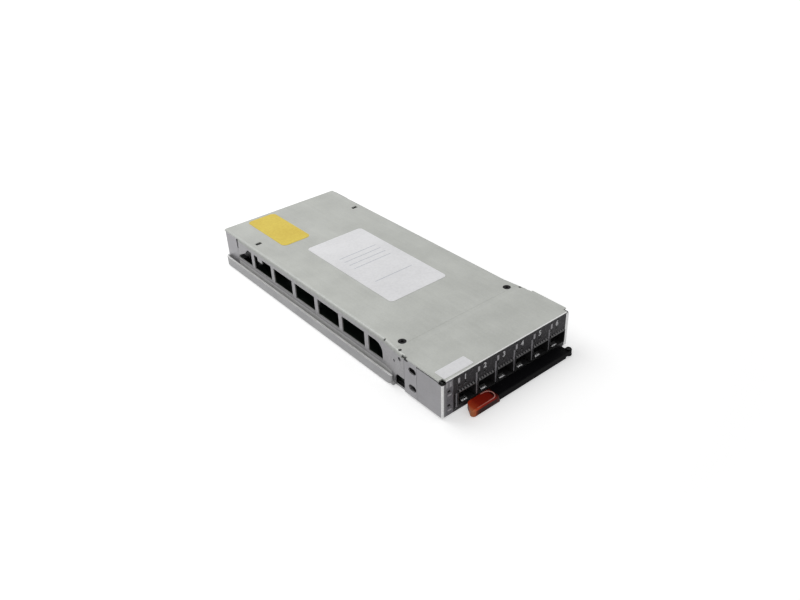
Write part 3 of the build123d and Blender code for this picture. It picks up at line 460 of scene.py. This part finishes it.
# Sizes are a width and a height, levels are heights of a middle, and an offset runs left from a port's
# middle
DIVIDER_SIZE = (1.4, 16.2)
DIVIDER_LEVEL = 13.4
END_LINE_SIZE = (1.0, 10.6)
END_LINE_LEVEL = 9.2
END_LINE_OFFSET = 8.2
lines = bmesh.new()
for left, right in zip(PORT_CENTERS[:-1], PORT_CENTERS[1:]):
    printed_patch(lines, (left + right) / 2, DIVIDER_LEVEL, *DIVIDER_SIZE)
printed_patch(lines, PORT_CENTERS[0] - END_LINE_OFFSET, END_LINE_LEVEL, *END_LINE_SIZE)
finish_piece(lines, "face_divider_lines", dull_ink)

PORT_MARK_SIZE = (1.6, 3.6)
PORT_MARK_LEVEL = 23.2
PORT_MARK_OFFSET = 6.3
# Marks round the two status lamps: place, level, width and height
STATUS_MARKS = [(-52.2, 24.6, 1.1, 3.6), (-49.2, 24.0, 1.6, 3.4), (-50.2, 16.5, 3.0, 1.2),
                (-50.2, 5.2, 3.0, 1.2)]
marks = bmesh.new()
for center in PORT_CENTERS:
    printed_patch(marks, center - PORT_MARK_OFFSET, PORT_MARK_LEVEL, *PORT_MARK_SIZE)
for mark in STATUS_MARKS:
    printed_patch(marks, *mark)
finish_piece(marks, "face_lamp_marks", grey_ink)

# Plain port numbers, a little bolder than the font, with few steps in their curves so that the outlines
# stay whole
NUMBER_SIZE = 5.2
NUMBER_LEVEL = 23.3
NUMBER_OFFSET = 1.2
INK_DEPTH = 0.03
for number, center in enumerate(PORT_CENTERS, start=1):
    letters = bpy.data.curves.new(f"port_number_{number}", "FONT")
    letters.body = str(number)
    letters.resolution_u = 4
    letters.size = NUMBER_SIZE * MM
    letters.extrude = INK_DEPTH * MM
    letters.offset = 0.12 * MM
    letters.align_x = "CENTER"
    letters.align_y = "CENTER"
    place = Matrix.Translation(Vector((center - NUMBER_OFFSET, FRONT_Y - INK_DEPTH, NUMBER_LEVEL)) * MM)
    upright = place @ Matrix.Rotation(math.radians(90), 4, "X")
    finish_piece(mesh_of_curve(letters, upright), f"port_number_{number}", bright_ink)

# Front slopes of the latch springs in the port floors, as rows of depth and height. The springs are
# stamped steel, drawn polished and white here as a painted glint: small bright strokes in the dark mouths
SPRING_ROWS = [(0.45, 5.44), (1.1, 5.74), (1.75, 6.0)]
SPRING_OFFSET = 1.3
SPRING_HALF = 2.2
SPRING_SHEET = 0.06
spring_glint_steel = turned_metal("spring_steel_painted_glint", "#E4E4E6", "#FFFFFF", 0.2, 1.0)
springs = bmesh.new()
for center in PORT_CENTERS:
    middle = center - SPRING_OFFSET
    rows = [[springs.verts.new(Vector((middle + side * SPRING_HALF, FRONT_Y + depth, z)) * MM)
             for side in (-1, 1)] for depth, z in SPRING_ROWS]
    for near, far in zip(rows[:-1], rows[1:]):
        springs.faces.new((near[0], near[1], far[1], far[0]))
bmesh.ops.solidify(springs, geom=springs.faces[:], thickness=-SPRING_SHEET * MM)
finish_piece(springs, "latch_spring_painted_glints", spring_glint_steel)

# Raised lip round the dish of the touch tab, open to the left: a flattened bead, sunk a little into the
# tab. Its plastic is the tab's, drawn paler as a painted highlight that runs along the dish
LIP_RADIUS = 3.9
LIP_BEAD = 0.36
LIP_SINK = 0.05
LIP_FLATTEN = 0.5
LIP_START = 4.2
LIP_TAIL = 3.0
DISH_RADIUS = 3.65
DISH_RIM = 1.2
TAB_SLOPE = 1.5
lip_highlight_plastic = moulded("terracotta_polycarbonate_painted_highlight", "#C06A58", "#DD9A8A", 0.3,
                       tint=(-40.0, -22.0, [(0.0, "#D2693F"), (0.5, "#C2563F"), (1.0, "#DDA39A")]))
tab_low, tab_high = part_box("touch_tab")
lip_mid_y = (tab_low.y + tab_high.y) / 2 / MM
lip_mid_x = tab_high.x / MM - TAB_SLOPE - DISH_RIM - DISH_RADIUS
lip = bpy.data.curves.new("tab_lip", "CURVE")
lip.dimensions = "3D"
lip.bevel_depth = LIP_BEAD * MM
lip.bevel_resolution = 3
lip.use_fill_caps = True
lip_points = [(tab_low.x / MM + LIP_START, lip_mid_y - LIP_RADIUS)]
for step in range(13):
    angle = math.radians(-90 + 15 * step)
    lip_points.append((lip_mid_x + LIP_RADIUS * math.cos(angle), lip_mid_y + LIP_RADIUS * math.sin(angle)))
lip_points.append((lip_mid_x - LIP_TAIL, lip_mid_y + LIP_RADIUS))
path = lip.splines.new("POLY")
path.points.add(len(lip_points) - 1)
for point, (x, y) in zip(path.points, lip_points):
    point.co = (x * MM, y * MM, 0.0, 1.0)
lip_place = Matrix.Translation((0, 0, tab_high.z - LIP_SINK * MM))
flat = lip_place @ Matrix.Diagonal((1.0, 1.0, LIP_FLATTEN, 1.0))
finish_piece(mesh_of_curve(lip, flat), "tab_lip", lip_highlight_plastic, "handle")

# Faint ruled lines on the main label, which is otherwise blank, as shares of its length and width
RULE_PLACES = (0.30, 0.36, 0.42, 0.48, 0.72)
RULE_LENGTH = 0.66
RULE_WIDTH = 0.5
RULE_DEPTH = 0.02
label_ink = printed_ink("grey_label_ink", "#A4A8B2", "#BCC0C8")
label_low, label_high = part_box("main_label")
rules = bmesh.new()
for share in RULE_PLACES:
    y = label_high.y - (label_high.y - label_low.y) * share
    place = Matrix.Translation(((label_low.x + label_high.x) / 2, y, label_high.z))
    length = (label_high.x - label_low.x) * RULE_LENGTH
    size = Matrix.Diagonal((length, RULE_WIDTH * MM, RULE_DEPTH * MM, 1.0))
    bmesh.ops.create_cube(rules, size=1.0, matrix=place @ size)
finish_piece(rules, "main_label_rules", label_ink)


# Floor, world, lamp and camera
def seen_directly(tree):
    """1 for rays of the camera, of reflections and of transmission, 0 for rays that only carry light."""
    path = add_node(tree, "ShaderNodeLightPath").outputs
    seen = add_node(tree, "ShaderNodeMath", {0: path["Is Camera Ray"], 1: path["Is Glossy Ray"]},
                    operation="MAXIMUM")
    return add_node(tree, "ShaderNodeMath", {0: seen.outputs[0], 1: path["Is Transmission Ray"]},
                    operation="MAXIMUM")


def stage_material():
    """White studio floor. It gives back light as a mid grey and takes the shadows, and what the camera
    and reflections see of it is lifted to white, more so far from the module, where less light falls."""
    material = bpy.data.materials.new("studio_floor")
    material.use_nodes = True
    tree = material.node_tree
    tree.nodes.clear()
    seen = seen_directly(tree)
    place = add_node(tree, "ShaderNodeNewGeometry").outputs["Position"]
    reach = add_node(tree, "ShaderNodeVectorMath", {0: place}, operation="LENGTH").outputs["Value"]
    needed = add_node(tree, "ShaderNodeMapRange", {"Value": reach, "From Min": 0.25, "From Max": 1.1,
                                                   "To Min": 0.45, "To Max": 0.85}).outputs["Result"]
    lift = add_node(tree, "ShaderNodeMath", {0: seen.outputs[0], 1: needed}, operation="MULTIPLY")
    shade = add_node(tree, "ShaderNodeMix", {0: seen.outputs[0], 6: linear("#969696"), 7: linear("#E8E8E8")},
                     data_type="RGBA")
    lit = add_node(tree, "ShaderNodeBsdfDiffuse", {"Color": shade.outputs[2]})
    white = add_node(tree, "ShaderNodeEmission", {"Color": linear("#FFFFFF"), "Strength": lift.outputs[0]})
    both = add_node(tree, "ShaderNodeAddShader", {0: lit.outputs[0], 1: white.outputs[0]})
    add_node(tree, "ShaderNodeOutputMaterial", {"Surface": both.outputs[0]})
    return material


# The floor is a square of 12 m, and lies just below the tray so that the two don't flicker
FLOOR_HALF = 6.0
FLOOR_DROP = 0.02
floor_mesh = bmesh.new()
bmesh.ops.create_grid(floor_mesh, x_segments=1, y_segments=1, size=FLOOR_HALF,
                      matrix=Matrix.Translation((0, 0, -FLOOR_DROP * MM)))
floor_data = bpy.data.meshes.new("floor")
floor_mesh.to_mesh(floor_data)
floor_mesh.free()
floor_data.materials.append(stage_material())
floor = bpy.data.objects.new("floor", floor_data)
bpy.context.scene.collection.objects.link(floor)

# The world lights the model at half the strength at which it is seen
world = bpy.data.worlds.new("studio_world")
bpy.context.scene.world = world
world.use_nodes = True
sky = world.node_tree
sky.nodes.clear()
strength = add_node(sky, "ShaderNodeMapRange", {"Value": seen_directly(sky).outputs[0], "To Min": 0.5,
                                                "To Max": 1.0})
light = add_node(sky, "ShaderNodeBackground", {"Color": linear("#FFFFFF"), "Strength": strength.outputs[0]})
add_node(sky, "ShaderNodeOutputWorld", {"Surface": light.outputs[0]})


# Square lamp above and behind the module, 0.7 m wide, which looks at the origin
LAMP_PLACE = Vector((-0.2, 0.55, 0.8))
lamp = bpy.data.lights.new("top_softbox", "AREA")
lamp.shape = "SQUARE"
lamp.size = 0.7
lamp.energy = 3.9
softbox = bpy.data.objects.new("top_softbox", lamp)
lamp_turn = (-LAMP_PLACE).to_track_quat("-Z", "Y").to_matrix().to_4x4()
softbox.matrix_world = Matrix.Translation(LAMP_PLACE) @ lamp_turn
bpy.context.scene.collection.objects.link(softbox)

# Camera fitted to the photograph: azimuth, elevation and roll in degrees, place in mm, and the focal
# length in pixels of a picture 800 pixels wide
AZIMUTH, ELEVATION, ROLL = (math.radians(v) for v in (-38.53, 32.67, -2.34))
CAMERA_PLACE = (-281.8, -372.95, 300.6)
FOCAL_PIXELS = 753.0
PICTURE_WIDTH = 800
SENSOR_WIDTH = 36.0
back = Vector((math.sin(AZIMUTH) * math.cos(ELEVATION), -math.cos(AZIMUTH) * math.cos(ELEVATION),
               math.sin(ELEVATION)))
level_right = Vector((math.cos(AZIMUTH), math.sin(AZIMUTH), 0.0))
level_up = back.cross(level_right)
right = level_right * math.cos(ROLL) + level_up * math.sin(ROLL)
up = level_up * math.cos(ROLL) - level_right * math.sin(ROLL)
turn = Matrix((right, up, back)).transposed().to_4x4()
lens = bpy.data.cameras.new("photo_camera")
lens.sensor_width = SENSOR_WIDTH
lens.lens = SENSOR_WIDTH * FOCAL_PIXELS / PICTURE_WIDTH
lens.clip_start = 0.01
camera = bpy.data.objects.new("photo_camera", lens)
camera.matrix_world = Matrix.Translation(Vector(CAMERA_PLACE) * MM) @ turn
bpy.context.scene.collection.objects.link(camera)
bpy.context.scene.camera = camera
bpy.context.scene.view_settings.view_transform = "Standard"
